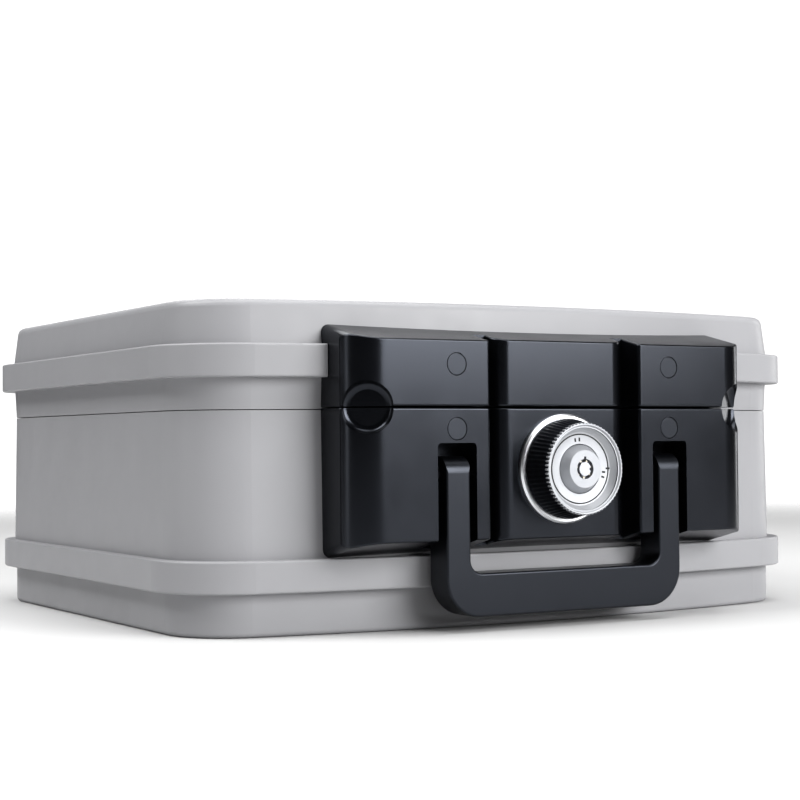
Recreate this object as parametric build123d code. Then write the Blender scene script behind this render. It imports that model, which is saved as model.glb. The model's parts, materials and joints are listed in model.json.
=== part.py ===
from build123d import *
from math import cos, radians, sin, sqrt
import os

# Fireproof document box: a moulded chest with a hinged lid, a black front cover in two halves,
# a swinging carry handle and a key-locked knob that turns a hook latch.
# Millimetres, Z up. X runs across the front and -Y is the front.
# The origin is the middle of the chest's footprint, on the surface that it rests on.
# At rest the lid is closed and unlatched, and the handle hangs in its slots.

# ---- chest, outside ----
HALF_WIDTH = 179.6          # side wall at the parting line
BACK_Y = 148.5              # back wall at the parting line
FRONT_Y = -148.5            # middle of the bowed front wall
FRONT_CORNER_Y = -127.9     # where the bowed wall would meet the side wall
CORNER_RADIUS = 35.4        # vertical corners in plan
HEIGHT = 157.0
PARTING_Z = 105.2
SEAM_GAP = 0.4              # between the two shells
SHELL = 3.0                 # moulded wall thickness

LOWER_BAND = (20.4, 35.6)   # bottom and top of the base's rim band
LOWER_BAND_PROUD = 6.9
UPPER_BAND = (120.2, 135.8)
UPPER_BAND_PROUD = 8.0
BAND_EDGE = 1.0             # edge radius of both bands
WALL_START_Z = 22.0         # the base's wall rises from inside the lower band
FOOT_PROUD = 0.1
BASE_FLARE = 1.2            # how much wider the base wall is at the band than at the seam
LID_FLARE = 0.8             # the same, for the lid below its band
LID_ABOVE_BAND = 1.34       # the wall just above the upper band
LID_TOP_INSET = 1.36        # the lid's walls lean in to this at the top
TOP_EDGE = 4.0
BOTTOM_EDGE = 2.0

# ---- inside of the chest ----
ROOM_HALF_WIDTH = 146.0
ROOM_FRONT_Y = -111.0
ROOM_BACK_Y = 115.0
ROOM_FLOOR_Z = 32.0
ROOM_ROOF_Z = 127.5
ROOM_RADIUS = 16.0
ROOM_EDGE = 6.0
LINER = 2.5                 # wall of the inner tub and of the lid liner
FLANGE = 2.6                # thickness of the tub's and liner's rims
LID_SHELL = SHELL + 0.4     # the lid's wall, a little thicker where it leans
LID_ROOF = 4.0
GASKET_OUT = 11.0           # outer edge of the seal, in from the shell's outside
GASKET_IN = 17.0
GASKET_GROOVE = 1.6
GASKET_GAP = 0.1            # room round the seal in its groove

# ---- front cover ----
COVER_HALF_WIDTH = 117.6
COVER_FRONT_Y = -173.0
COVER_CORNER = 18.0
COVER_TOP_Z = 137.3         # top of the flat face
COVER_BOTTOM_Z = 43.4
COVER_SLOPE = 0.243         # rise of the sloping top and bottom towards the chest
COVER_GAP = (105.5, 106.2)  # top of the lower cover, bottom of the upper one
COVER_WALL = 2.8
COVER_FIT = 0.1             # gap behind the cover
COVER_DEEP = 60.0           # raw depth, before the chest's outside is cut away
PANEL_INNER_X = 44.3        # inner edge of each side panel
PANEL_EDGE = 1.6
CENTRE_FRONT_Y = COVER_FRONT_Y + 2.9
CENTRE_HALF_WIDTH = 38.0
CENTRE_EDGE = 8.0
CHANNEL_FLOOR_Y = COVER_FRONT_Y + 14.7
FACE_EDGE = 1.0             # small roundings round the faces
END_EDGE = 4.0              # rounding of the top and bottom edges at the cover's ends

NOTCH_X = 109.3             # finger notches at the cover's ends, scooped in from outside
NOTCH_Z = 105.6
NOTCH_RADIUS = 12.4
NOTCH_TILT = 33.0           # degrees that each scoop's axis leans outwards
NOTCH_INNER_X = 96.9        # where the scoop's edge comes out on the face
NOTCH_DEPTH = 10.5          # of the scoop's floor at NOTCH_X
NOTCH_BACK_EDGE = 4.0

CAP_X = 63.0                # screw caps
CAP_LOWER_Z = 95.65
CAP_UPPER_Z = 126.0
CAP_RADIUS = 5.25
CAP_DEPTH = 2.0
CAP_GAP = 0.22
CAP_SEAT = 4.6              # depth of the pocket for the cap and the screw head
BOSS_RADIUS = 7.4
SCREW_TIP_Y = -136.3        # the cover screws bite into the chest's wall

# ---- handle ----
ARM_INNER_X = 55.9
ARM_OUTER_X = 69.1
HANDLE_DEPTH = 16.0
HANDLE_TOP_Z = 82.8
HANDLE_BOTTOM_Z = 6.9
HANDLE_BAR = 20.6           # height of the bar
HANDLE_OUTER_RADIUS = 18.5
HANDLE_INNER_RADIUS = 6.5
HANDLE_EDGE = 1.1
HANDLE_BACK_Y = COVER_FRONT_Y + HANDLE_DEPTH
PIVOT_Y = COVER_FRONT_Y + HANDLE_DEPTH / 2
PIVOT_Z = HANDLE_TOP_Z - HANDLE_DEPTH / 2
SLOT_INNER_X = 52.3
SLOT_OUTER_X = 73.8
SLOT_TOP_Z = 89.0
SLOT_FLOOR_Y = HANDLE_BACK_Y + 1.2
SLOT_CORNER = 2.0
PIVOT_PIN_RADIUS = 2.5
PIVOT_PIN_GRIP = 3.3        # how far each pin reaches past the slot's sides
RUNNING_FIT = 0.05          # radial gap of a pin or shaft that turns

# ---- knob and lock, all on one axis along Y ----
KNOB_Z = 76.0
BEZEL_RADIUS = 26.6
BEZEL_FRONT_Y = CENTRE_FRONT_Y - 2.4
BEZEL_EDGE = 0.9
HOUSING_RADIUS = 9.5        # barrel that passes through the cover
HOUSING_BORE = 6.2
HOUSING_FRONT_Y = BEZEL_FRONT_Y + 0.2
HOUSING_BACK_Y = CENTRE_FRONT_Y + 13.2
HOUSING_FLANGE_RADIUS = 21.0
HOUSING_FLANGE = 2.6
HOUSING_SCREW_REACH = 16.5
KNOB_BACK_Y = BEZEL_FRONT_Y - 0.4
GRIP_BACK_RADIUS = 24.4
GRIP_FRONT_RADIUS = 21.6
GRIP_FLOOR_Y = KNOB_BACK_Y - 3.0
RIM_FRONT_Y = CENTRE_FRONT_Y - 17.8
GRIP_FRONT_Y = RIM_FRONT_Y + 1.0
RIM_RADIUS = 22.2
RIM_INNER_RADIUS = 20.9
RIM_EDGE = 0.3
DISH_SEAT_RADIUS = RIM_INNER_RADIUS - 1.0
DIAL_Y = RIM_FRONT_Y + 4.8
DIAL_RADIUS = 17.8
DISH_BACK_Y = DIAL_Y + 1.2
MARK_PROUD = 0.12           # printed marks on the dial
MARK_RING = (16.3, 16.95)
MARK_REACH = (13.2, 15.0)
MARK_WIDTH = 0.85
MARK_ANGLES = (91, 101, -7, -17)
CORE_BASE_RADIUS = 11.7
CORE_FACE_RADIUS = 9.3
CORE_BODY_RADIUS = 9.6
CORE_FACE_Y = RIM_FRONT_Y + 0.5
CORE_BACK_Y = GRIP_FLOOR_Y - 2.0
KEYWAY_RADIUS = 4.85
KEYWAY_FLOOR_Y = CORE_FACE_Y + 3.5
POST_RADIUS = 3.3
LOCK_PINS = 7
LOCK_PIN_RADIUS = 0.55
LOCK_PIN_START = 25.0       # degrees round from the top
SPINDLE_RADIUS = 4.0
SPINDLE_HEAD_RADIUS = 8.0
SPINDLE_SQUARE = 5.6
SPINDLE_THREAD_RADIUS = 2.5
CLIP_RADIUS = 6.8
CAM_FRONT_Y = HOUSING_BACK_Y + 2.6
CAM_BACK_Y = CAM_FRONT_Y + 3.0
CAM_NUT = 1.6
CAM_HUB_RADIUS = 9.0
CAM_LIP = 4.4
CAM_CLEARANCE = 0.6         # between the hook's slot and the strike pin
STRIKE_REACH = 36.0         # strike pin's distance from the knob's axis
STRIKE_Z = KNOB_Z + STRIKE_REACH
STRIKE_PIN_RADIUS = 2.2
STRIKE_FRONT_Y = CAM_BACK_Y + 0.7
STRIKE_BACK_Y = STRIKE_FRONT_Y + 1.25
STRIKE_SCREW_X = 9.0
STRIKE_SCREW_Z = STRIKE_Z + 1.0

# ---- rear hinges ----
HINGE_X = 95.0
HINGE_Y = BACK_Y + 9.5
KNUCKLE_RADIUS = 5.0
HINGE_PIN_RADIUS = 2.5
HINGE_PIN_HEAD = (4.0, 1.6)  # radius and thickness
HINGE_HALF = 22.0
LID_LEAF_HALF = 16.0
LID_KNUCKLE_HALF = 7.7
KNUCKLE_GAP = 0.3
LEAF_BACK_Y = BACK_Y + 4.1
LEAF_BOTTOM_Z = 78.0
LEAF_CORNER = 5.0
BASE_HINGE_SCREWS = (12.0, 87.0)   # distance from the hinge's middle, height
LID_HINGE_SCREWS = (11.0, 113.0)
HINGE_SCREW_TIP_Y = BACK_Y - 10.0

BASE_TOP_Z = PARTING_Z - SEAM_GAP / 2
LID_BOTTOM_Z = PARTING_Z + SEAM_GAP / 2
FRONT_BOW = FRONT_CORNER_Y - FRONT_Y
FRONT_RADIUS = (HALF_WIDTH ** 2 + FRONT_BOW ** 2) / (2 * FRONT_BOW)

# Screw sizes: head radius, shank radius, head height
COVER_SCREW = (3.4, 1.7, 2.4)
HOUSING_SCREW = (2.6, 1.4, 1.6)
HINGE_SCREW = (3.2, 1.6, 2.0)
STRIKE_SCREW = (2.4, 1.25, 1.1)

FACING_FRONT = (0, -1, 0)
ACROSS = Plane(origin=(0, 0, 0), x_dir=(0, 1, 0), z_dir=(1, 0, 0))


# ---------- helpers ----------
def outline(proud, z):
    """The chest's plan: straight back and sides, bowed front, at a height z."""
    half = HALF_WIDTH + proud
    radius = FRONT_RADIUS + proud
    middle = FRONT_Y - proud
    corner = middle + radius - sqrt(radius ** 2 - half ** 2)
    back = BACK_Y + proud
    edges = [
        Line((-half, corner), (-half, back)),
        Line((-half, back), (half, back)),
        Line((half, back), (half, corner)),
        ThreePointArc((half, corner), (0, middle), (-half, corner)),
    ]
    face = make_face(edges)
    face = fillet(face.vertices(), CORNER_RADIUS + proud).face()
    upward = face if face.normal_at().Z > 0 else -face
    return Pos(0, 0, z) * upward


def slab(proud, bottom, top, top_proud=None):
    """A length of the chest's outside, straight or leaning evenly from bottom to top."""
    if top_proud is None:
        return extrude(outline(proud, bottom), amount=top - bottom)
    return loft([outline(proud, bottom), outline(top_proud, top)], ruled=True)


def block(x, y, z):
    """A box from its limits on each axis."""
    solid = Box(x[1] - x[0], y[1] - y[0], z[1] - z[0])
    return Pos((x[0] + x[1]) / 2, (y[0] + y[1]) / 2, (z[0] + z[1]) / 2) * solid


def rod_y(x, z, radius, front, back):
    return Pos(x, (front + back) / 2, z) * Rot(90, 0, 0) * Cylinder(radius, back - front)


def rod_x(y, z, radius, left, right):
    return Pos((left + right) / 2, y, z) * Rot(0, 90, 0) * Cylinder(radius, right - left)


def turned(points, x=0.0, z=KNOB_Z):
    """A solid of revolution about the Y axis through (x, z). Points are (radius, y)."""
    face = make_face(Polyline(*points, close=True))
    return Pos(x, 0, z) * revolve(face, Axis.Y)


def both_sides(make):
    return [make(-1), make(1)]


def span(side, inner, outer):
    """X limits of something between two distances from the middle, on one side."""
    return sorted((side * inner, side * outer))


def edges_at(solid, z):
    """Level edges of a solid at one height."""
    near = 0.02
    return solid.edges().filter_by(
        lambda edge: abs(edge.center().Z - z) < near and edge.bounding_box().size.Z < near)


def vertical_edges(solid):
    return solid.edges().filter_by(Axis.Z)


def band(proud, levels):
    ring = slab(proud, levels[0], levels[1])
    return fillet(edges_at(ring, levels[0]) + edges_at(ring, levels[1]), BAND_EDGE)


def room(grow, bottom, top):
    """The storage space, grown by a wall thickness."""
    solid = block((-ROOM_HALF_WIDTH - grow, ROOM_HALF_WIDTH + grow),
                  (ROOM_FRONT_Y - grow, ROOM_BACK_Y + grow), (bottom, top))
    return fillet(vertical_edges(solid), ROOM_RADIUS + grow)


def screw(x, z, front, tip, sizes):
    """A pan-head screw along Y. Its tip points to the back or to the front."""
    head_radius, shank_radius, height = sizes
    way = 1 if tip > front else -1
    neck = front + way * height
    points = [(0, front), (head_radius * 0.7, front), (head_radius, front + way * height * 0.45),
              (head_radius, neck), (shank_radius, neck),
              (shank_radius, tip - way * shank_radius), (0, tip)]
    slot = 0.7
    cross = Box(head_radius * 1.1, slot * 2, slot) + Box(slot, slot * 2, head_radius * 1.1)
    return turned(points, x, z) - Pos(x, front, z) * cross


def flush_screw(x, z, front, tip, sizes):
    """A countersunk screw along Y, without its drive."""
    head_radius, shank_radius, height = sizes
    points = [(0, front), (head_radius, front), (shank_radius, front + height),
              (shank_radius, tip - shank_radius), (0, tip)]
    return turned(points, x, z)


# ---------- chest shells ----------
def base_wall(grow):
    return slab(BASE_FLARE + grow, WALL_START_Z, BASE_TOP_Z, grow)


def base_outside():
    foot = slab(FOOT_PROUD, 0, WALL_START_Z + 4)
    foot = fillet(edges_at(foot, 0), BOTTOM_EDGE)
    return foot + base_wall(0) + band(LOWER_BAND_PROUD, LOWER_BAND)


def lid_walls(grow):
    """The lid flares a little up to its band and leans in above it."""
    split = (UPPER_BAND[0] + UPPER_BAND[1]) / 2
    low_slope = LID_FLARE / (UPPER_BAND[0] - LID_BOTTOM_Z)
    high_slope = (LID_ABOVE_BAND + LID_TOP_INSET) / (HEIGHT - UPPER_BAND[1])
    low_top = low_slope * (split - LID_BOTTOM_Z)
    high_bottom = LID_ABOVE_BAND + high_slope * (UPPER_BAND[1] - split)
    low = slab(grow, LID_BOTTOM_Z, split, low_top + grow)
    high = slab(high_bottom + grow, split, HEIGHT, grow - LID_TOP_INSET)
    return low, high


def lid_outside():
    low, high = lid_walls(0)
    high = fillet(edges_at(high, HEIGHT), TOP_EDGE)
    ring = band(UPPER_BAND_PROUD, UPPER_BAND)
    clear = COVER_HALF_WIDTH + 0.3
    ring -= block((-clear, clear), (COVER_FRONT_Y, 0), (UPPER_BAND[0] - 1, UPPER_BAND[1] + 1))
    return low + high + ring


def base_shell(outside):
    return outside - slab(-SHELL, SHELL, BASE_TOP_Z + 1)


def lid_inside():
    return slab(-LID_SHELL, LID_BOTTOM_Z - 1, HEIGHT - LID_ROOF)


# ---------- linings ----------
def tub_blank():
    cup = room(LINER, ROOM_FLOOR_Z - LINER, BASE_TOP_Z)
    return cup + slab(-SHELL, BASE_TOP_Z - FLANGE, BASE_TOP_Z)


def base_tub():
    space = room(0, ROOM_FLOOR_Z, BASE_TOP_Z + 1)
    return tub_blank() - fillet(edges_at(space, ROOM_FLOOR_Z), ROOM_EDGE)


def base_insulation():
    return slab(-SHELL, SHELL, BASE_TOP_Z - FLANGE) - tub_blank()


def liner_blank():
    cup = room(LINER, LID_BOTTOM_Z, ROOM_ROOF_Z + LINER)
    return cup + slab(-LID_SHELL, LID_BOTTOM_Z, LID_BOTTOM_Z + FLANGE)


def lid_liner():
    space = room(0, LID_BOTTOM_Z - 1, ROOM_ROOF_Z)
    space = fillet(edges_at(space, ROOM_ROOF_Z), ROOM_EDGE)
    top = LID_BOTTOM_Z + GASKET_GROOVE
    groove = slab(-GASKET_OUT, LID_BOTTOM_Z, top) - slab(-GASKET_IN, LID_BOTTOM_Z, top)
    return liner_blank() - space - groove


def lid_gasket():
    bottom = BASE_TOP_Z + GASKET_GAP / 2
    top = LID_BOTTOM_Z + GASKET_GROOVE
    return (slab(-GASKET_OUT - GASKET_GAP, bottom, top)
            - slab(-GASKET_IN + GASKET_GAP, bottom, top))


def lid_insulation():
    return (lid_inside() & slab(-SHELL, LID_BOTTOM_Z + FLANGE, HEIGHT)) - liner_blank()


# ---------- front cover ----------
def side_panel_plan(side, shrink):
    front = COVER_FRONT_Y + shrink
    width = COVER_HALF_WIDTH - PANEL_INNER_X - 2 * shrink
    middle = side * (COVER_HALF_WIDTH + PANEL_INNER_X) / 2
    panel = Pos(middle, front + COVER_DEEP / 2) * Rectangle(width, COVER_DEEP)
    outer = panel.vertices().filter_by(lambda v: v.Y < front + 1 and abs(v.X) > abs(middle))
    panel = fillet(outer, COVER_CORNER - shrink)
    if shrink:
        return panel
    inner = panel.vertices().filter_by(
        lambda v: v.Y < front + 1 and abs(v.X) < PANEL_INNER_X + 1)
    return fillet(inner, PANEL_EDGE)


def cover_plan(shrink):
    """Plan of the whole cover: two side panels and a set-back centre on a common back."""
    centre_front = CENTRE_FRONT_Y + shrink
    centre = Pos(0, centre_front + COVER_DEEP / 2) * Rectangle(
        2 * (CENTRE_HALF_WIDTH - shrink), COVER_DEEP)
    corners = centre.vertices().filter_by(lambda v: v.Y < centre_front + 1)
    centre = fillet(corners, CENTRE_EDGE - shrink)
    spine = Pos(0, CHANNEL_FLOOR_Y + shrink + COVER_DEEP / 2) * Rectangle(
        2 * (COVER_HALF_WIDTH - shrink), COVER_DEEP)
    return side_panel_plan(-1, shrink) + side_panel_plan(1, shrink) + centre + spine


def cover_side(shrink, bottom=None, top=None):
    """Side profile with the sloping top and bottom, as wide as the chest.
    A level bottom or top replaces the slope there."""
    front = COVER_FRONT_Y - 5
    back = COVER_FRONT_Y + COVER_DEEP - 10
    lift = shrink * sqrt(1 + COVER_SLOPE ** 2)

    def high(y):
        return COVER_TOP_Z + COVER_SLOPE * (y - COVER_FRONT_Y) - lift if top is None else top

    def low(y):
        rise = COVER_SLOPE * (y - COVER_FRONT_Y)
        return COVER_BOTTOM_Z - rise + lift if bottom is None else bottom

    profile = make_face(Polyline((front, low(front)), (back, low(back)),
                                 (back, high(back)), (front, high(front)), close=True))
    return extrude(ACROSS * profile, amount=HALF_WIDTH, both=True)


def cover_body(shrink, bottom=None, top=None):
    tall = extrude(cover_plan(shrink), amount=HEIGHT)
    return tall & cover_side(shrink, bottom, top)


def round_ends(solid):
    """Round the sloping edges along the top or bottom of the cover's two ends."""
    def is_end_edge(edge):
        box = edge.bounding_box()
        return abs(edge.center().X) > COVER_HALF_WIDTH - 0.01 and box.size.Z > 1 < box.size.Y

    return fillet(solid.edges().filter_by(is_end_edge), END_EDGE)


def round_faces(solid):
    """Round the long level edges of the front faces."""
    def is_face_edge(edge):
        box = edge.bounding_box()
        level = box.size.Y < 0.01 and box.size.Z < 0.01 and box.size.X > 5
        return level and min(abs(box.min.Y - COVER_FRONT_Y),
                             abs(box.min.Y - CENTRE_FRONT_Y)) < 0.01

    for wanted in solid.edges().filter_by(is_face_edge):
        same = solid.edges().filter_by(lambda edge: (
            (edge.center() - wanted.center()).length < 0.6
            and abs(edge.length - wanted.length) < 2.5))
        if same:
            solid = fillet(same[0], FACE_EDGE)
    return solid


def notch_cutter(side, grow=0.0):
    """Finger notch at one end of the cover. A grown one leaves the wall round it."""
    radius = NOTCH_RADIUS + grow
    reach = 40.0
    cutter = rod_y(0, 0, radius, -reach, grow)
    rim = cutter.edges().filter_by(lambda edge: abs(edge.center().Y - grow) < 0.01)
    cutter = fillet(rim, NOTCH_BACK_EDGE)
    tilt = radians(NOTCH_TILT)
    axis_x = NOTCH_INNER_X + NOTCH_RADIUS / cos(tilt)
    along = (NOTCH_X - axis_x) * sin(tilt) - NOTCH_DEPTH * cos(tilt)
    place = (side * (axis_x + along * sin(tilt)), COVER_FRONT_Y - along * cos(tilt), NOTCH_Z)
    return Pos(*place) * Rot(0, 0, side * NOTCH_TILT) * cutter


def slot_cutter(side, grow=0.0):
    slot = block(span(side, SLOT_INNER_X - grow, SLOT_OUTER_X + grow),
                 (COVER_FRONT_Y - 10, SLOT_FLOOR_Y + grow), (0, SLOT_TOP_Z + grow))
    top = slot.edges().filter_by(Axis.Y).filter_by(lambda edge: edge.center().Z > SLOT_TOP_Z - 1)
    return fillet(top, SLOT_CORNER)


def channel_wall(side):
    """Keeps the wall beside each channel solid between the panels."""
    return block(span(side, CENTRE_HALF_WIDTH - COVER_WALL, PANEL_INNER_X + COVER_WALL),
                 (COVER_FRONT_Y, CHANNEL_FLOOR_Y + COVER_WALL), (0, HEIGHT))


def hook_gap():
    """Opening in the covers' meeting walls that the latch hook turns through."""
    return block((-37, 13), (CAM_FRONT_Y - 1.2, FRONT_Y + 10),
                 (COVER_GAP[0] - 6, COVER_GAP[1] + 6))


def make_cover(bottom, top, cap_z, slots):
    outer = round_faces(round_ends(cover_body(0, bottom, top)))
    inner_bottom = None if bottom is None else bottom + COVER_WALL
    inner_top = None if top is None else top - COVER_WALL
    hollow = cover_body(COVER_WALL, inner_bottom, inner_top)
    back = COVER_FRONT_Y + COVER_DEEP
    for side in (-1, 1):
        hollow -= channel_wall(side)
        hollow -= notch_cutter(side, COVER_WALL)
        hollow -= rod_y(side * CAP_X, cap_z, BOSS_RADIUS, COVER_FRONT_Y, back)
        if slots:
            hollow -= slot_cutter(side, COVER_WALL)
    cover = outer - hollow
    for side in (-1, 1):
        cover -= notch_cutter(side)
        cover -= rod_y(side * CAP_X, cap_z, CAP_RADIUS + CAP_GAP,
                       COVER_FRONT_Y - 5, COVER_FRONT_Y + CAP_SEAT)
        cover -= rod_y(side * CAP_X, cap_z, COVER_SCREW[1] + 0.1, COVER_FRONT_Y, back)
        if slots:
            cover -= slot_cutter(side)
    return cover - hook_gap()


def lower_cover():
    cover = make_cover(None, COVER_GAP[0], CAP_LOWER_Z, True) - base_wall(COVER_FIT)
    cover -= slab(COVER_FIT, BASE_TOP_Z - SEAM_GAP, LID_BOTTOM_Z + SEAM_GAP)
    cover -= rod_y(0, KNOB_Z, HOUSING_RADIUS, COVER_FRONT_Y, SLOT_FLOOR_Y)
    for x, z in housing_screw_spots():
        cover -= rod_y(x, z, HOUSING_SCREW[1], CENTRE_FRONT_Y + 1.0, SLOT_FLOOR_Y)
    for pin in pivot_pins():
        cover -= pin
    return cover


def upper_cover():
    low, high = lid_walls(COVER_FIT)
    return make_cover(COVER_GAP[1], None, CAP_UPPER_Z, False) - low - high


def caps(z):
    def cap(side):
        disc = rod_y(side * CAP_X, z, CAP_RADIUS, COVER_FRONT_Y, COVER_FRONT_Y + CAP_DEPTH)
        front = disc.edges().filter_by(lambda e: abs(e.center().Y - COVER_FRONT_Y) < 0.01)
        return fillet(front, 0.3)
    return both_sides(cap)


def cover_screws(z):
    front = COVER_FRONT_Y + CAP_SEAT - COVER_SCREW[2]
    return both_sides(lambda side: screw(side * CAP_X, z, front, SCREW_TIP_Y, COVER_SCREW))


# ---------- handle ----------
def u_shape(half, bottom, top, radius):
    """A tall rectangle seen from the front, with its two lower corners rounded."""
    face = Pos(0, (bottom + top) / 2) * Rectangle(2 * half, top - bottom)
    return fillet(face.vertices().filter_by(lambda v: v.Y < bottom + 1), radius)


def carry_handle():
    above = HANDLE_TOP_Z + 20
    outside = u_shape(ARM_OUTER_X, HANDLE_BOTTOM_Z, above, HANDLE_OUTER_RADIUS)
    inside = u_shape(ARM_INNER_X, HANDLE_BOTTOM_Z + HANDLE_BAR, above + 10,
                     HANDLE_INNER_RADIUS)
    facing = Plane(origin=(0, HANDLE_BACK_Y, 0), x_dir=(1, 0, 0), z_dir=FACING_FRONT)
    loop = extrude(facing * (outside - inside), amount=HANDLE_DEPTH)
    rim = loop.edges().filter_by(
        lambda e: e.bounding_box().size.Y < 0.01 and e.center().Z < above - 1)
    loop = fillet(rim, HANDLE_EDGE)
    side_view = make_face(Polyline((COVER_FRONT_Y, 0), (COVER_FRONT_Y, PIVOT_Z),
                                   (HANDLE_BACK_Y, PIVOT_Z), (HANDLE_BACK_Y, 0), close=True))
    keep = extrude(ACROSS * side_view, amount=HALF_WIDTH, both=True)
    keep += rod_x(PIVOT_Y, PIVOT_Z, HANDLE_DEPTH / 2, -HALF_WIDTH, HALF_WIDTH)
    bore = rod_x(PIVOT_Y, PIVOT_Z, PIVOT_PIN_RADIUS + RUNNING_FIT, -HALF_WIDTH, HALF_WIDTH)
    return (loop & keep) - bore


def pivot_pins():
    def pin(side):
        ends = span(side, SLOT_INNER_X - PIVOT_PIN_GRIP, SLOT_OUTER_X + PIVOT_PIN_GRIP)
        return rod_x(PIVOT_Y, PIVOT_Z, PIVOT_PIN_RADIUS, ends[0], ends[1])
    return both_sides(pin)


# ---------- knob and lock ----------
def knob_bezel():
    return turned([(HOUSING_RADIUS, CENTRE_FRONT_Y), (BEZEL_RADIUS, CENTRE_FRONT_Y),
                   (BEZEL_RADIUS, BEZEL_FRONT_Y + BEZEL_EDGE),
                   (BEZEL_RADIUS - BEZEL_EDGE, BEZEL_FRONT_Y), (HOUSING_RADIUS, BEZEL_FRONT_Y)])


def housing_screw_spots():
    return [(HOUSING_SCREW_REACH * cos(radians(angle)),
             KNOB_Z + HOUSING_SCREW_REACH * sin(radians(angle)))
            for angle in (45, 135, 225, 315)]


def lock_housing():
    flange_front = CENTRE_FRONT_Y + COVER_WALL
    flange_back = flange_front + HOUSING_FLANGE
    neck = 1.5
    body = turned([(HOUSING_BORE, HOUSING_FRONT_Y), (HOUSING_RADIUS, HOUSING_FRONT_Y),
                   (HOUSING_RADIUS, flange_front), (HOUSING_FLANGE_RADIUS, flange_front),
                   (HOUSING_FLANGE_RADIUS, flange_back), (HOUSING_RADIUS + neck, flange_back),
                   (HOUSING_RADIUS, flange_back + neck), (HOUSING_RADIUS, HOUSING_BACK_Y),
                   (HOUSING_BORE, HOUSING_BACK_Y)])
    for x, z in housing_screw_spots():
        body -= rod_y(x, z, HOUSING_SCREW[1] + 0.1, flange_front - 1, flange_back + 1)
    return body


def housing_screws():
    head = CENTRE_FRONT_Y + COVER_WALL + HOUSING_FLANGE + HOUSING_SCREW[2]
    return [screw(x, z, head, head - 5.6, HOUSING_SCREW) for x, z in housing_screw_spots()]


def spindle_bush():
    bore = SPINDLE_RADIUS + RUNNING_FIT
    return turned([(bore, HOUSING_FRONT_Y), (HOUSING_BORE, HOUSING_FRONT_Y),
                   (HOUSING_BORE, HOUSING_BACK_Y), (bore, HOUSING_BACK_Y)])


def knob_spindle():
    half = SPINDLE_SQUARE / 2
    shaft = rod_y(0, KNOB_Z, SPINDLE_RADIUS, CORE_BACK_Y, CAM_FRONT_Y)
    head = rod_y(0, KNOB_Z, SPINDLE_HEAD_RADIUS, CORE_BACK_Y, GRIP_FLOOR_Y)
    square = block((-half, half), (CAM_FRONT_Y, CAM_BACK_Y), (KNOB_Z - half, KNOB_Z + half))
    thread = rod_y(0, KNOB_Z, SPINDLE_THREAD_RADIUS, CAM_BACK_Y, CAM_BACK_Y + CAM_NUT + 0.2)
    return shaft + head + square + thread


def spindle_circlip():
    front = HOUSING_BACK_Y + 0.3
    back = front + 0.9
    ring = turned([(SPINDLE_RADIUS, front), (CLIP_RADIUS, front), (CLIP_RADIUS, back),
                   (SPINDLE_RADIUS, back)])
    return ring - block((-1.6, 1.6), (front - 1, back + 1), (KNOB_Z - 9, KNOB_Z))


def sector(inner, outer, start, end):
    """A piece of a ring in the hook's plane. Angles turn from +X towards +Z."""
    ring = (rod_y(0, KNOB_Z, outer, CAM_FRONT_Y, CAM_BACK_Y)
            - rod_y(0, KNOB_Z, inner, CAM_FRONT_Y, CAM_BACK_Y))
    reach = outer * 2

    def away(angle):
        return (reach * cos(radians(angle)), reach * sin(radians(angle)))

    wedge = make_face(Polyline((0, 0), away(start), away((start + end) / 2), away(end),
                               close=True))
    facing = Plane(origin=(0, CAM_BACK_Y, KNOB_Z), x_dir=(1, 0, 0), z_dir=FACING_FRONT)
    return ring & extrude(facing * wedge, amount=CAM_BACK_Y - CAM_FRONT_Y)


def latch_cam():
    """The hook points left at rest, and up over the strike pin once the knob is turned."""
    left = 180.0
    slot_in = STRIKE_REACH - STRIKE_PIN_RADIUS - CAM_CLEARANCE
    slot_out = STRIKE_REACH + STRIKE_PIN_RADIUS + CAM_CLEARANCE
    hub = rod_y(0, KNOB_Z, CAM_HUB_RADIUS, CAM_FRONT_Y, CAM_BACK_Y)
    arm = sector(CAM_HUB_RADIUS - 4, slot_in, left - 6, left + 22)
    web = sector(slot_in - 1, slot_out + 1, left + 10, left + 22)
    lip = sector(slot_out, slot_out + CAM_LIP, left - 8, left + 22)
    half = SPINDLE_SQUARE / 2
    hole = block((-half, half), (CAM_FRONT_Y - 1, CAM_BACK_Y + 1), (KNOB_Z - half, KNOB_Z + half))
    return hub + arm + web + lip - hole


def cam_nut():
    hexagon = RegularPolygon(5.0, 6) - Circle(SPINDLE_THREAD_RADIUS)
    facing = Plane(origin=(0, CAM_BACK_Y + CAM_NUT, KNOB_Z), x_dir=(1, 0, 0),
                   z_dir=FACING_FRONT)
    return extrude(facing * hexagon, amount=CAM_NUT)


def knob_grip():
    edge = 0.8
    return turned([(SPINDLE_RADIUS, KNOB_BACK_Y), (GRIP_BACK_RADIUS - edge, KNOB_BACK_Y),
                   (GRIP_BACK_RADIUS, KNOB_BACK_Y - edge), (GRIP_FRONT_RADIUS, GRIP_FRONT_Y),
                   (DISH_SEAT_RADIUS, GRIP_FRONT_Y), (DISH_SEAT_RADIUS, GRIP_FLOOR_Y),
                   (SPINDLE_RADIUS, GRIP_FLOOR_Y)])


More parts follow.
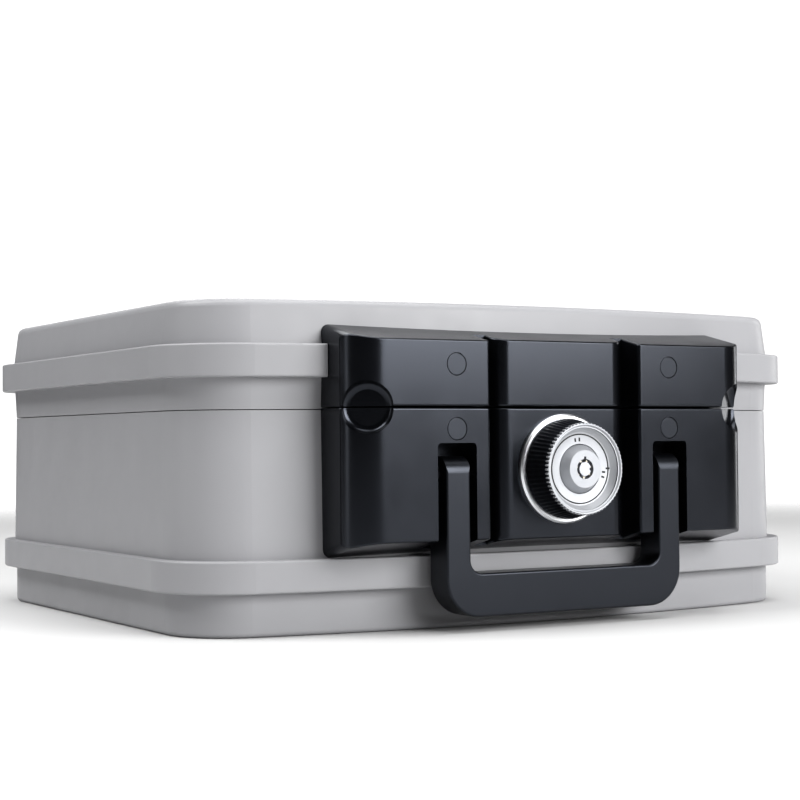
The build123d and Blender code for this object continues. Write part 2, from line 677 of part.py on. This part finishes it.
def knob_dish():
    return turned([(CORE_BASE_RADIUS, DIAL_Y), (DIAL_RADIUS, DIAL_Y),
                   (RIM_INNER_RADIUS, RIM_FRONT_Y + RIM_EDGE),
                   (RIM_INNER_RADIUS + RIM_EDGE, RIM_FRONT_Y),
                   (RIM_RADIUS - RIM_EDGE, RIM_FRONT_Y), (RIM_RADIUS, RIM_FRONT_Y + RIM_EDGE),
                   (RIM_RADIUS, GRIP_FRONT_Y), (DISH_SEAT_RADIUS, GRIP_FRONT_Y),
                   (DISH_SEAT_RADIUS, DISH_BACK_Y), (CORE_BASE_RADIUS, DISH_BACK_Y)])


def lock_core():
    edge = 0.3
    body = turned([(KEYWAY_RADIUS, CORE_FACE_Y), (CORE_FACE_RADIUS - edge, CORE_FACE_Y),
                   (CORE_FACE_RADIUS, CORE_FACE_Y + edge), (CORE_BASE_RADIUS, DIAL_Y),
                   (CORE_BASE_RADIUS, DISH_BACK_Y), (CORE_BODY_RADIUS, DISH_BACK_Y),
                   (CORE_BODY_RADIUS, CORE_BACK_Y), (KEYWAY_RADIUS, CORE_BACK_Y)])
    key_tab = block((-0.65, 0.65), (CORE_FACE_Y - 1, KEYWAY_FLOOR_Y - 0.6),
                    (KNOB_Z, KNOB_Z + KEYWAY_RADIUS + 1.1))
    return body - key_tab


def pin_spots():
    reach = (KEYWAY_RADIUS + POST_RADIUS) / 2
    angles = [radians(i * 360 / LOCK_PINS + LOCK_PIN_START) for i in range(LOCK_PINS)]
    return [(reach * sin(angle), KNOB_Z + reach * cos(angle)) for angle in angles]


def key_plug():
    base = rod_y(0, KNOB_Z, KEYWAY_RADIUS - RUNNING_FIT, KEYWAY_FLOOR_Y, CORE_BACK_Y - 0.2)
    post = rod_y(0, KNOB_Z, POST_RADIUS, CORE_FACE_Y + 0.1, KEYWAY_FLOOR_Y)
    flat = block((POST_RADIUS - 0.7, POST_RADIUS + 1), (CORE_FACE_Y - 1, KEYWAY_FLOOR_Y),
                 (KNOB_Z - 0.7, KNOB_Z + 0.7))
    plug = base + post - flat
    for x, z in pin_spots():
        plug -= rod_y(x, z, LOCK_PIN_RADIUS, CORE_FACE_Y, KEYWAY_FLOOR_Y + 2)
    return plug


def lock_pins():
    front = KEYWAY_FLOOR_Y - 2.2
    return [rod_y(x, z, LOCK_PIN_RADIUS, front, KEYWAY_FLOOR_Y + 2) for x, z in pin_spots()]


def dial_marks():
    """A fine ring, an index tick and short plain marks, all raised a little."""
    front = DIAL_Y - MARK_PROUD
    ring = (rod_y(0, KNOB_Z, MARK_RING[1], front, DIAL_Y)
            - rod_y(0, KNOB_Z, MARK_RING[0], front, DIAL_Y))
    tick = block((MARK_RING[0] - 1, DIAL_RADIUS - 0.05), (front, DIAL_Y),
                 (KNOB_Z - MARK_WIDTH / 2, KNOB_Z + MARK_WIDTH / 2))
    marks = [ring + tick]
    for angle in MARK_ANGLES:
        bar = block((MARK_REACH[0], MARK_REACH[1]), (front, DIAL_Y),
                    (-MARK_WIDTH / 2, MARK_WIDTH / 2))
        marks.append(Pos(0, 0, KNOB_Z) * Rot(0, -angle, 0) * bar)
    return marks


def strike_screws():
    return both_sides(lambda side: flush_screw(
        side * STRIKE_SCREW_X, STRIKE_SCREW_Z, STRIKE_FRONT_Y, FRONT_Y + 7, STRIKE_SCREW))


def strike_plate():
    plate = block((-13, 13), (STRIKE_FRONT_Y, STRIKE_BACK_Y), (STRIKE_Z - 5.5, STRIKE_Z + 7.5))
    plate = fillet(plate.edges().filter_by(Axis.Y), 2.0)
    plate += rod_y(0, STRIKE_Z, STRIKE_PIN_RADIUS, CAM_FRONT_Y - 0.6, STRIKE_BACK_Y)
    for fixing in strike_screws():
        plate -= fixing
    return plate


# ---------- hinges ----------
def base_hinge(side, chest):
    x0 = side * HINGE_X
    top = BASE_TOP_Z - 0.2
    leaf = block((x0 - HINGE_HALF, x0 + HINGE_HALF), (BACK_Y - 2, LEAF_BACK_Y),
                 (LEAF_BOTTOM_Z, top))
    lower = leaf.edges().filter_by(Axis.Y).filter_by(
        lambda e: e.center().Z < LEAF_BOTTOM_Z + 1)
    leaf = fillet(lower, LEAF_CORNER)
    inner = LID_KNUCKLE_HALF + KNUCKLE_GAP
    for left, right in ((-HINGE_HALF, -inner), (inner, HINGE_HALF)):
        leaf += rod_x(HINGE_Y, PARTING_Z, KNUCKLE_RADIUS, x0 + left, x0 + right)
        leaf += block((x0 + left, x0 + right), (LEAF_BACK_Y - 1, HINGE_Y),
                      (PARTING_Z - KNUCKLE_RADIUS, top))
    leaf -= rod_x(HINGE_Y, PARTING_Z, HINGE_PIN_RADIUS, x0 - HINGE_HALF, x0 + HINGE_HALF)
    return drill(leaf - chest, hinge_screw_holes(side, BASE_HINGE_SCREWS))


def lid_hinge(side, lid):
    x0 = side * HINGE_X
    bottom = LID_BOTTOM_Z + 0.2
    leaf = block((x0 - LID_LEAF_HALF, x0 + LID_LEAF_HALF), (BACK_Y - 2, LEAF_BACK_Y),
                 (bottom, UPPER_BAND[0] - 0.4))
    leaf += rod_x(HINGE_Y, PARTING_Z, KNUCKLE_RADIUS,
                  x0 - LID_KNUCKLE_HALF, x0 + LID_KNUCKLE_HALF)
    leaf += block((x0 - LID_KNUCKLE_HALF, x0 + LID_KNUCKLE_HALF), (LEAF_BACK_Y - 1, HINGE_Y),
                  (bottom, PARTING_Z + KNUCKLE_RADIUS))
    leaf -= rod_x(HINGE_Y, PARTING_Z, HINGE_PIN_RADIUS + RUNNING_FIT,
                  x0 - HINGE_HALF, x0 + HINGE_HALF)
    return drill(leaf - lid, hinge_screw_holes(side, LID_HINGE_SCREWS))


def hinge_pins():
    head_radius, head = HINGE_PIN_HEAD

    def pin(side):
        x0 = side * HINGE_X
        left = x0 - HINGE_HALF
        right = x0 + HINGE_HALF
        return (rod_x(HINGE_Y, PARTING_Z, HINGE_PIN_RADIUS, left, right)
                + rod_x(HINGE_Y, PARTING_Z, head_radius, left - head, left)
                + rod_x(HINGE_Y, PARTING_Z, head_radius, right, right + head))
    return both_sides(pin)


def hinge_screws(spot):
    front = LEAF_BACK_Y + HINGE_SCREW[2]
    return [screw(side * HINGE_X + way * spot[0], spot[1], front, HINGE_SCREW_TIP_Y, HINGE_SCREW)
            for side in (-1, 1) for way in (-1, 1)]


# ---------- holes for the fixings ----------
def hinge_screw_holes(side, spot):
    return [rod_y(side * HINGE_X + way * spot[0], spot[1], HINGE_SCREW[1],
                  HINGE_SCREW_TIP_Y, LEAF_BACK_Y + 1) for way in (-1, 1)]


def shell_holes():
    holes = []
    for side in (-1, 1):
        for z in (CAP_LOWER_Z, CAP_UPPER_Z):
            holes.append(rod_y(side * CAP_X, z, COVER_SCREW[1], COVER_FRONT_Y, SCREW_TIP_Y))
        for spot in (BASE_HINGE_SCREWS, LID_HINGE_SCREWS):
            holes += hinge_screw_holes(side, spot)
    return holes + strike_screws()


def drill(solid, holes):
    for hole in holes:
        solid -= hole
    return solid


# ---------- assembly ----------
def build():
    base_out = base_outside()
    lid_out = lid_outside()
    holes = shell_holes()
    return {
        "base_shell": drill(base_shell(base_out), holes),
        "base_insulation": drill(base_insulation(), holes),
        "base_tub": base_tub(),
        "lower_cover": lower_cover(),
        "lower_cover_caps": caps(CAP_LOWER_Z),
        "lower_cover_screws": cover_screws(CAP_LOWER_Z),
        "handle_pivot_pins": pivot_pins(),
        "lock_housing": lock_housing(),
        "lock_housing_screws": housing_screws(),
        "spindle_bush": spindle_bush(),
        "knob_bezel": knob_bezel(),
        "base_hinge_leaves": both_sides(lambda side: base_hinge(side, base_out)),
        "base_hinge_screws": hinge_screws(BASE_HINGE_SCREWS),
        "hinge_pins": hinge_pins(),
        "lid_shell": drill(lid_out - lid_inside(), holes),
        "lid_insulation": drill(lid_insulation(), holes),
        "lid_liner": lid_liner(),
        "lid_gasket": lid_gasket(),
        "upper_cover": upper_cover(),
        "upper_cover_caps": caps(CAP_UPPER_Z),
        "upper_cover_screws": cover_screws(CAP_UPPER_Z),
        "strike_plate": strike_plate(),
        "strike_screws": strike_screws(),
        "lid_hinge_leaves": both_sides(lambda side: lid_hinge(side, lid_out)),
        "lid_hinge_screws": hinge_screws(LID_HINGE_SCREWS),
        "carry_handle": carry_handle(),
        "knob_grip": knob_grip(),
        "knob_dish": knob_dish(),
        "dial_marks": dial_marks(),
        "lock_core": lock_core(),
        "knob_spindle": knob_spindle(),
        "spindle_circlip": spindle_circlip(),
        "latch_cam": latch_cam(),
        "cam_nut": cam_nut(),
        "key_plug": key_plug(),
        "key_plug_pins": lock_pins(),
    }


def main():
    os.makedirs("parts", exist_ok=True)
    for name, shape in build().items():
        if isinstance(shape, list):
            shape = Compound(children=shape)
        export_step(shape, "parts/" + name + ".step")


main()
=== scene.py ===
import json
from math import cos, pi, radians, sin

import bmesh
import bpy
from mathutils import Matrix, Vector

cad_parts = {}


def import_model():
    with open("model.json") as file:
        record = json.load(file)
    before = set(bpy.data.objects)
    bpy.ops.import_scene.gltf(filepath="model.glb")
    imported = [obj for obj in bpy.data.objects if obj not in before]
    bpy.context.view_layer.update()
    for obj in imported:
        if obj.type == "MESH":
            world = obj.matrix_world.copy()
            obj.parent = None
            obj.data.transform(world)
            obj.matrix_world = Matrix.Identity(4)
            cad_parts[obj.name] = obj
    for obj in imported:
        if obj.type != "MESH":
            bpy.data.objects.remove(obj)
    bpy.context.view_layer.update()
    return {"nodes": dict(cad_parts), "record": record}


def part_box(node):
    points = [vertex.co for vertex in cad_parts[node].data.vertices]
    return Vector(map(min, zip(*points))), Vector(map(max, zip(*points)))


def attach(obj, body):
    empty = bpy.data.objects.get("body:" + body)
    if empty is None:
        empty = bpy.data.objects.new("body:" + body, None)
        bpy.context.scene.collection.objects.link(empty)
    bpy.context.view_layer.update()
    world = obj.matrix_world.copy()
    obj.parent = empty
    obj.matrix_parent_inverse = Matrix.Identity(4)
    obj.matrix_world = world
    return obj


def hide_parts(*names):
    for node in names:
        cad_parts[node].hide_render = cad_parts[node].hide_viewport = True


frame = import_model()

MM = 0.001


# ---------- places taken from the frame ----------
def middle(node):
    low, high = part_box(node)
    return (low + high) / 2


KNOB = middle("knob_dish")
KNOB_X, KNOB_Z = KNOB.x, KNOB.z
RIM_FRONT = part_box("knob_dish")[0].y
RIM_RADIUS = (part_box("knob_dish")[1].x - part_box("knob_dish")[0].x) / 2
GRIP_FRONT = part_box("knob_grip")[0].y
GRIP_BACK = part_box("knob_grip")[1].y
GRIP_RADIUS = (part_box("knob_grip")[1].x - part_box("knob_grip")[0].x) / 2
DIAL_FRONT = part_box("dial_marks")[1].y
DISH_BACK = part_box("knob_dish")[1].y
CORE_RADIUS = (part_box("lock_core")[1].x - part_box("lock_core")[0].x) / 2


# ---------- node helpers ----------
class Shader:
    """A material made of nodes, with short calls for the nodes that it needs."""

    def __init__(self, name, color, roughness, metallic=0.0):
        self.material = bpy.data.materials.new(name)
        self.material.use_nodes = True
        self.tree = self.material.node_tree
        self.surface = self.tree.nodes["Principled BSDF"]
        self.color = color
        self.surface.inputs["Base Color"].default_value = (*color, 1)
        self.surface.inputs["Roughness"].default_value = roughness
        self.surface.inputs["Metallic"].default_value = metallic
        self.where = self.tree.nodes.new("ShaderNodeTexCoord").outputs["Object"]

    def link(self, source, target):
        self.tree.links.new(source, target)

    def node(self, kind, **values):
        made = self.tree.nodes.new(kind)
        for name, value in values.items():
            setattr(made, name, value)
        return made

    def set(self, name, value):
        self.surface.inputs[name].default_value = value

    def noise(self, size, detail=3.0):
        """Noise whose features are about that many metres across."""
        texture = self.node("ShaderNodeTexNoise")
        texture.inputs["Scale"].default_value = 1 / size
        texture.inputs["Detail"].default_value = detail
        self.link(self.where, texture.inputs["Vector"])
        return texture.outputs[0]

    def ranged(self, source, low, high, start=0.3, end=0.7):
        """Source from start to end becomes low to high."""
        made = self.node("ShaderNodeMapRange")
        made.inputs["From Min"].default_value = start
        made.inputs["From Max"].default_value = end
        made.inputs["To Min"].default_value = low
        made.inputs["To Max"].default_value = high
        self.link(source, made.inputs["Value"])
        return made.outputs["Result"]

    def mixed(self, factor, first, second):
        made = self.node("ShaderNodeMix", data_type="RGBA")
        made.inputs["A"].default_value = (*first, 1)
        made.inputs["B"].default_value = (*second, 1)
        self.link(factor, made.inputs["Factor"])
        return made.outputs["Result"]

    def tint(self, size, amount):
        """Slow light and dark variation in the base colour."""
        dark = tuple(c * (1 - amount) for c in self.color)
        light = tuple(min(1.0, c * (1 + amount)) for c in self.color)
        factor = self.ranged(self.noise(size), 0, 1)
        self.link(self.mixed(factor, dark, light), self.surface.inputs["Base Color"])

    def rough(self, size, low, high):
        """Roughness that wanders between low and high."""
        self.link(self.ranged(self.noise(size), low, high), self.surface.inputs["Roughness"])

    def bump(self, height, depth, strength=1.0):
        """Adds relief that many metres deep to whatever relief is there already."""
        made = self.node("ShaderNodeBump")
        made.inputs["Distance"].default_value = depth
        made.inputs["Strength"].default_value = strength
        self.link(height, made.inputs["Height"])
        before = self.surface.inputs["Normal"].links
        if before:
            self.link(before[0].from_socket, made.inputs["Normal"])
        self.link(made.outputs["Normal"], self.surface.inputs["Normal"])

    def rings(self, spacing):
        """Turning marks: fine rings about the knob's axis."""
        split = self.node("ShaderNodeSeparateXYZ")
        self.link(self.where, split.inputs["Vector"])
        level = self.node("ShaderNodeMath", operation="SUBTRACT")
        level.inputs[1].default_value = KNOB_Z
        self.link(split.outputs["Z"], level.inputs[0])
        joined = self.node("ShaderNodeCombineXYZ")
        self.link(split.outputs["X"], joined.inputs["X"])
        self.link(level.outputs["Value"], joined.inputs["Z"])
        reach = self.node("ShaderNodeVectorMath", operation="LENGTH")
        self.link(joined.outputs["Vector"], reach.inputs[0])
        wave = self.node("ShaderNodeMath", operation="SINE")
        turns = self.node("ShaderNodeMath", operation="MULTIPLY")
        turns.inputs[1].default_value = 2 * pi / spacing
        self.link(reach.outputs["Value"], turns.inputs[0])
        self.link(turns.outputs["Value"], wave.inputs[0])
        return wave.outputs["Value"]


# ---------- materials ----------
def moulded(name, color, roughness, grain=0.45 * MM, depth=0.012 * MM, tint=0.02, spread=0.05):
    """Injection-moulded plastic: a fine sparked grain, with a slow change of gloss and tone."""
    shader = Shader(name, color, roughness)
    shader.tint(60 * MM, tint)
    shader.rough(18 * MM, roughness - spread, roughness + spread)
    shader.bump(shader.noise(grain, detail=2.0), depth)
    return shader


def shell_grey():
    shader = moulded("shell_grey", (0.322, 0.322, 0.334), 0.40, grain=0.6 * MM, tint=0.012)
    shader.set("Specular IOR Level", 0.30)
    shader.bump(shader.noise(70 * MM, detail=1.0), 0.10 * MM, 0.5)
    return shader


def liner_grey():
    return moulded("liner_grey", (0.085, 0.085, 0.09), 0.5)


def black(name, roughness):
    """Blue-black satin plastic, nearly all of whose light is reflection."""
    shader = moulded(name, (0.0026, 0.0028, 0.0036), roughness, grain=0.35 * MM,
                     depth=0.003 * MM, tint=0.2, spread=0.02)
    shader.set("Specular Tint", (0.80, 0.86, 1, 1))
    shader.set("Specular IOR Level", 0.50)
    return shader


def cover_black():
    return black("cover_black", 0.25)


def cap_black():
    return black("cap_black", 0.32)


def handle_black():
    return black("handle_black", 0.34)


def grip_black():
    shader = black("grip_black", 0.30)
    shader.set("Specular IOR Level", 0.8)
    return shader


def insulation():
    shader = Shader("insulation", (0.62, 0.59, 0.53), 0.95)
    shader.tint(9 * MM, 0.12)
    shader.bump(shader.noise(1.5 * MM, detail=6.0), 0.4 * MM)
    return shader


def seal_rubber():
    shader = Shader("seal_rubber", (0.014, 0.014, 0.014), 0.72)
    shader.rough(4 * MM, 0.66, 0.80)
    shader.bump(shader.noise(0.8 * MM), 0.03 * MM)
    return shader


def mark_black():
    shader = Shader("mark_black", (0.01, 0.01, 0.01), 0.6)
    shader.rough(0.5 * MM, 0.5, 0.7)
    return shader


def plated(name, color, low, high, grain=0.8 * MM, depth=0.002 * MM, tint=0.03):
    """Bare or plated metal with slight unevenness in its gloss."""
    shader = Shader(name, color, (low + high) / 2, metallic=1.0)
    shader.tint(12 * MM, tint)
    shader.rough(3 * MM, low, high)
    shader.bump(shader.noise(grain), depth)
    return shader


def turned_metal(name, color, low, high, metallic=1.0, spacing=0.16 * MM, depth=0.003 * MM):
    """Metal turned on a lathe, with fine rings about the knob's axis."""
    shader = Shader(name, color, (low + high) / 2, metallic)
    shader.tint(8 * MM, 0.03)
    shader.rough(2 * MM, low, high)
    shader.bump(shader.rings(spacing), depth)
    return shader


def coated(name, color, roughness):
    """Powder coat: a soft orange-peel surface."""
    shader = Shader(name, color, roughness)
    shader.rough(5 * MM, roughness - 0.05, roughness + 0.06)
    shader.bump(shader.noise(1.1 * MM, detail=1.0), 0.03 * MM)
    return shader


def make_materials():
    made = {
        "shell_grey": shell_grey(),
        "insulation": insulation(),
        "liner_grey": liner_grey(),
        "cover_black": cover_black(),
        "cap_black": cap_black(),
        "handle_black": handle_black(),
        "seal_rubber": seal_rubber(),
        "grip_black": grip_black(),
        "mark_black": mark_black(),
        "chrome_trim": plated("chrome_trim", (0.80, 0.81, 0.83), 0.30, 0.38),
        "dish_silver": turned_metal("dish_silver", (0.45, 0.46, 0.48), 0.52, 0.60, 0.66),
        "lock_silver": turned_metal("lock_silver", (0.40, 0.41, 0.43), 0.52, 0.60, 0.72),
        "plug_silver": turned_metal("plug_silver", (0.42, 0.43, 0.46), 0.44, 0.52, 0.85),
        "pin_brass": plated("pin_brass", (0.50, 0.47, 0.40), 0.30, 0.40),
        "bush_brass": plated("bush_brass", (0.66, 0.48, 0.24), 0.25, 0.35),
        "steel_bright": plated("steel_bright", (0.56, 0.57, 0.60), 0.28, 0.42),
        "steel_black": plated("steel_black", (0.03, 0.03, 0.035), 0.40, 0.50),
        "housing_zinc": plated("housing_zinc", (0.42, 0.43, 0.46), 0.40, 0.52),
        "hinge_black": coated("hinge_black", (0.016, 0.016, 0.018), 0.42),
    }
    return {name: shader.material for name, shader in made.items()}


def paint(thing, material):
    thing.data.materials.clear()
    thing.data.materials.append(material)


def paint_nodes(materials):
    """Each CAD node takes its record slot's material."""
    for part in frame["record"]["subparts"]:
        paint(frame["nodes"][part["node"]], materials[part["material_slot"]])


# ---------- mesh helpers ----------
def piece(name, mesh_builder, material_slot, body, materials, replaced):
    """An object from a bmesh, painted, riding on its body and standing for a CAD node."""
    work = bmesh.new()
    mesh_builder(work)
    bmesh.ops.recalc_face_normals(work, faces=work.faces)
    mesh = bpy.data.meshes.new(name)
    work.to_mesh(mesh)
    work.free()
    made = bpy.data.objects.new(name, mesh)
    bpy.context.scene.collection.objects.link(made)
    paint(made, materials[material_slot])
    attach(made, body)
    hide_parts(replaced)
    return made


def lathe(work, profile, steps, wobble):
    """Turns a closed outline of (radius, y) points about the knob's axis.
    wobble(angle, i) scales the radius of point i."""
    rings = []
    for step in range(steps):
        angle = 2 * pi * step / steps
        ring = []
        for i, (radius, y) in enumerate(profile):
            reach = radius * wobble(angle, i)
            ring.append(work.verts.new((KNOB_X + reach * sin(angle), y,
                                        KNOB_Z + reach * cos(angle))))
        rings.append(ring)
    count = len(profile)
    for step in range(steps):
        here = rings[step]
        after = rings[(step + 1) % steps]
        for i in range(count):
            j = (i + 1) % count
            work.faces.new((here[i], here[j], after[j], after[i]))


def smooth(thing, angle):
    """Smooth shading that keeps edges sharper than the angle."""
    for face in thing.data.polygons:
        face.use_smooth = True
    thing.data.set_sharp_from_angle(angle=radians(angle))


# ---------- knob ----------
TEETH = 68                  # round the rim, each in line with one flute of the barrel
STEPS_PER_TOOTH = 8
TOOTH_DEPTH = 0.95 * MM
TOOTH_SHARPNESS = 1.4
FLUTE_DEPTH = 0.40 * MM
FLUTE_SHAPE = 0.7           # below 1 the flutes are wide with narrow ridges between
SEAM = 0.35 * MM            # dark line round the lock core
SKIRT = 1.4 * MM            # how far the toothed skirt reaches back over the barrel
CLEARANCE = 0.02 * MM


def knob_grip(materials):
    """The black barrel, with fine flutes along its length."""
    edge = 0.7 * MM
    wall_thickness = 1.7 * MM
    floor = GRIP_BACK - 3 * MM
    shaft = 4 * MM
    front_radius = RIM_RADIUS - 0.6 * MM
    seat = front_radius - wall_thickness
    length = GRIP_BACK - GRIP_FRONT
    levels = 7
    wall = []
    for i in range(levels + 1):
        share = i / levels
        y = GRIP_BACK - edge - share * (length - edge)
        wall.append((GRIP_RADIUS + share * (front_radius - GRIP_RADIUS), y))
    before_wall = [(shaft, GRIP_BACK), (GRIP_RADIUS - edge, GRIP_BACK)]
    profile = [*before_wall, *wall, (seat, GRIP_FRONT), (seat, floor), (shaft, floor)]
    first = len(before_wall) + 1
    last = len(before_wall) + levels

    def flutes(angle, i):
        if not first <= i <= last:
            return 1
        groove = (1 - cos(TEETH * angle)) / 2
        return 1 - FLUTE_DEPTH / GRIP_RADIUS * groove ** FLUTE_SHAPE

    made = piece("knob_fluted_grip",
                 lambda work: lathe(work, profile, TEETH * STEPS_PER_TOOTH, flutes),
                 "grip_black", "knob", materials, "knob_grip")
    smooth(made, 50)


def knob_dish(materials):
    """The silver rim with its toothed skirt, the sloping wall and the dial face, in one turning."""
    hole = CORE_RADIUS + SEAM
    dial = 17.8 * MM
    foot = (0.5 * MM, 0.25 * MM)        # small slope between the dial and the wall
    inner = RIM_RADIUS - 1.3 * MM
    lip = 0.35 * MM                     # rounded inner edge of the rim, and its middle point
    lip_middle = (0.12 * MM, 0.10 * MM)
    crown = 0.75 * MM                   # rounded outer edge of the rim, and its middle point
    crown_middle = (0.55 * MM, 0.12 * MM)
    teeth_start = RIM_FRONT + 0.5 * MM
    skirt_back = GRIP_FRONT + SKIRT
    skirt_inner = RIM_RADIUS - 0.9 * MM
    seat = inner - 1 * MM
    behind_rim = GRIP_FRONT - CLEARANCE
    face = [
        (hole, DIAL_FRONT), (dial - foot[0], DIAL_FRONT), (dial, DIAL_FRONT - foot[1]),
        (inner, RIM_FRONT + lip), (inner + lip_middle[0], RIM_FRONT + lip_middle[1]),
        (inner + lip, RIM_FRONT), (RIM_RADIUS - crown, RIM_FRONT),
        (RIM_RADIUS - crown_middle[0], RIM_FRONT + crown_middle[1])]
    skirt = [(RIM_RADIUS, teeth_start), (RIM_RADIUS, skirt_back)]
    back = [(skirt_inner, skirt_back), (skirt_inner, behind_rim), (seat, behind_rim),
            (seat, DISH_BACK), (hole, DISH_BACK)]
    profile = face + skirt + back

    def teeth(angle, i):
        if not len(face) <= i < len(face) + len(skirt):
            return 1
        tooth = max(0.0, min(1.0, 0.5 + TOOTH_SHARPNESS * cos(TEETH * angle)))
        return 1 - TOOTH_DEPTH / RIM_RADIUS * (1 - tooth)

    made = piece("knob_toothed_dish",
                 lambda work: lathe(work, profile, TEETH * STEPS_PER_TOOTH, teeth),
                 "dish_silver", "knob", materials, "knob_dish")
    smooth(made, 32)


# ---------- stage, light and camera ----------
FLOOR_RADIUS = 1.8
FLOOR_Z = -0.2 * MM         # just below the rest face, so that the two don't flicker
FLOOR_GREY = 0.6
WORLD_FILL = 0.035
AIM = (0, -0.05, 0.08)      # what every softbox points at


def stage_shader(name, color):
    material = bpy.data.materials.new(name)
    material.use_nodes = True
    surface = material.node_tree.nodes["Principled BSDF"]
    surface.inputs["Base Color"].default_value = (*color, 1)
    surface.inputs["Roughness"].default_value = 0.9
    surface.inputs["Specular IOR Level"].default_value = 0.1
    return material


def fade_out(material, start, end):
    """The material becomes transparent between two distances from the middle."""
    tree = material.node_tree
    place = tree.nodes.new("ShaderNodeTexCoord")
    reach = tree.nodes.new("ShaderNodeVectorMath")
    reach.operation = "LENGTH"
    share = tree.nodes.new("ShaderNodeMapRange")
    share.interpolation_type = "SMOOTHSTEP"
    share.inputs["From Min"].default_value = start
    share.inputs["From Max"].default_value = end
    clear = tree.nodes.new("ShaderNodeBsdfTransparent")
    mix = tree.nodes.new("ShaderNodeMixShader")
    out = tree.nodes["Material Output"]
    tree.links.new(place.outputs["Object"], reach.inputs[0])
    tree.links.new(reach.outputs["Value"], share.inputs["Value"])
    tree.links.new(share.outputs["Result"], mix.inputs[0])
    tree.links.new(tree.nodes["Principled BSDF"].outputs[0], mix.inputs[1])
    tree.links.new(clear.outputs[0], mix.inputs[2])
    tree.links.new(mix.outputs[0], out.inputs["Surface"])


def floor():
    """A pale round floor that fades away before its edge."""
    work = bmesh.new()
    bmesh.ops.create_circle(work, cap_ends=True, segments=96, radius=FLOOR_RADIUS)
    mesh = bpy.data.meshes.new("studio_floor")
    work.to_mesh(mesh)
    work.free()
    made = bpy.data.objects.new("studio_floor", mesh)
    made.location.z = FLOOR_Z
    bpy.context.scene.collection.objects.link(made)
    material = stage_shader("studio_floor", (FLOOR_GREY,) * 3)
    fade_out(material, 0.5 * FLOOR_RADIUS, FLOOR_RADIUS)
    made.data.materials.append(material)


def aimed(location, target):
    """A rotation that points an object's -Z from location to target."""
    return (Vector(target) - Vector(location)).to_track_quat("-Z", "Y").to_euler()


def softbox(name, azimuth, elevation, distance, width, height, power):
    """A rectangular light. Azimuth is from the front (-Y) towards the right (+X).
    Angles are in degrees, sizes in metres and power in watts."""
    target = Vector(AIM)
    around = radians(azimuth)
    up = radians(elevation)
    away = Vector((sin(around) * cos(up), -cos(around) * cos(up), sin(up)))
    data = bpy.data.lights.new(name, "AREA")
    data.shape = "RECTANGLE"
    data.size = width
    data.size_y = height
    data.energy = power
    lamp = bpy.data.objects.new(name, data)
    lamp.location = target + away * distance
    lamp.rotation_euler = aimed(lamp.location, target)
    lamp.visible_camera = False
    bpy.context.scene.collection.objects.link(lamp)


def world():
    """White for the camera, and a dim even studio for everything else."""
    scene_world = bpy.data.worlds.new("studio")
    scene_world.use_nodes = True
    bpy.context.scene.world = scene_world
    tree = scene_world.node_tree
    tree.nodes.clear()
    seen = tree.nodes.new("ShaderNodeBackground")
    seen.inputs["Color"].default_value = (1, 1, 1, 1)
    seen.inputs["Strength"].default_value = 1.0
    fill = tree.nodes.new("ShaderNodeBackground")
    fill.inputs["Color"].default_value = (0.95, 0.97, 1, 1)
    fill.inputs["Strength"].default_value = WORLD_FILL
    ray = tree.nodes.new("ShaderNodeLightPath")
    mix = tree.nodes.new("ShaderNodeMixShader")
    out = tree.nodes.new("ShaderNodeOutputWorld")
    tree.links.new(ray.outputs["Is Camera Ray"], mix.inputs[0])
    tree.links.new(fill.outputs[0], mix.inputs[1])
    tree.links.new(seen.outputs[0], mix.inputs[2])
    tree.links.new(mix.outputs[0], out.inputs["Surface"])


def lights():
    softbox("key", 21, 19, 1.5, 1.0, 0.75, 23)
    softbox("side_right", 98, 10, 1.5, 0.3, 0.8, 2)
    softbox("side_left_high", -102, 50, 1.5, 0.9, 0.7, 15)
    softbox("side_left", -99, 8, 1.6, 0.22, 0.9, 1.5)
    softbox("top", 10, 80, 1.5, 1.4, 1.2, 18)
    softbox("back", 170, 45, 1.8, 1.2, 0.8, 8)


CAMERA_AT = (-0.50407, -0.87500, 0.09031)
CAMERA_YAW = 30.294          # from +Y towards +X
CAMERA_PITCH = 1.313
CAMERA_ROLL = -0.486
CAMERA_LENS = 79.716


def camera():
    yaw, pitch, roll = radians(CAMERA_YAW), radians(CAMERA_PITCH), radians(CAMERA_ROLL)
    forward = Vector((sin(yaw) * cos(pitch), cos(yaw) * cos(pitch), sin(pitch)))
    level = Vector((cos(yaw), -sin(yaw), 0))
    above = level.cross(forward)
    right = level * cos(roll) + above * sin(roll)
    up = above * cos(roll) - level * sin(roll)
    data = bpy.data.cameras.new("camera")
    data.sensor_width = 36
    data.lens = CAMERA_LENS
    data.clip_start = 0.01
    made = bpy.data.objects.new("camera", data)
    axes = Matrix((right, up, -forward)).transposed().to_4x4()
    made.matrix_world = Matrix.Translation(CAMERA_AT) @ axes
    bpy.context.scene.collection.objects.link(made)
    bpy.context.scene.camera = made


def main():
    materials = make_materials()
    paint_nodes(materials)
    knob_grip(materials)
    knob_dish(materials)
    floor()
    world()
    lights()
    camera()
    bpy.context.scene.view_settings.view_transform = "Standard"
    bpy.context.scene.view_settings.look = "Medium High Contrast"


main()
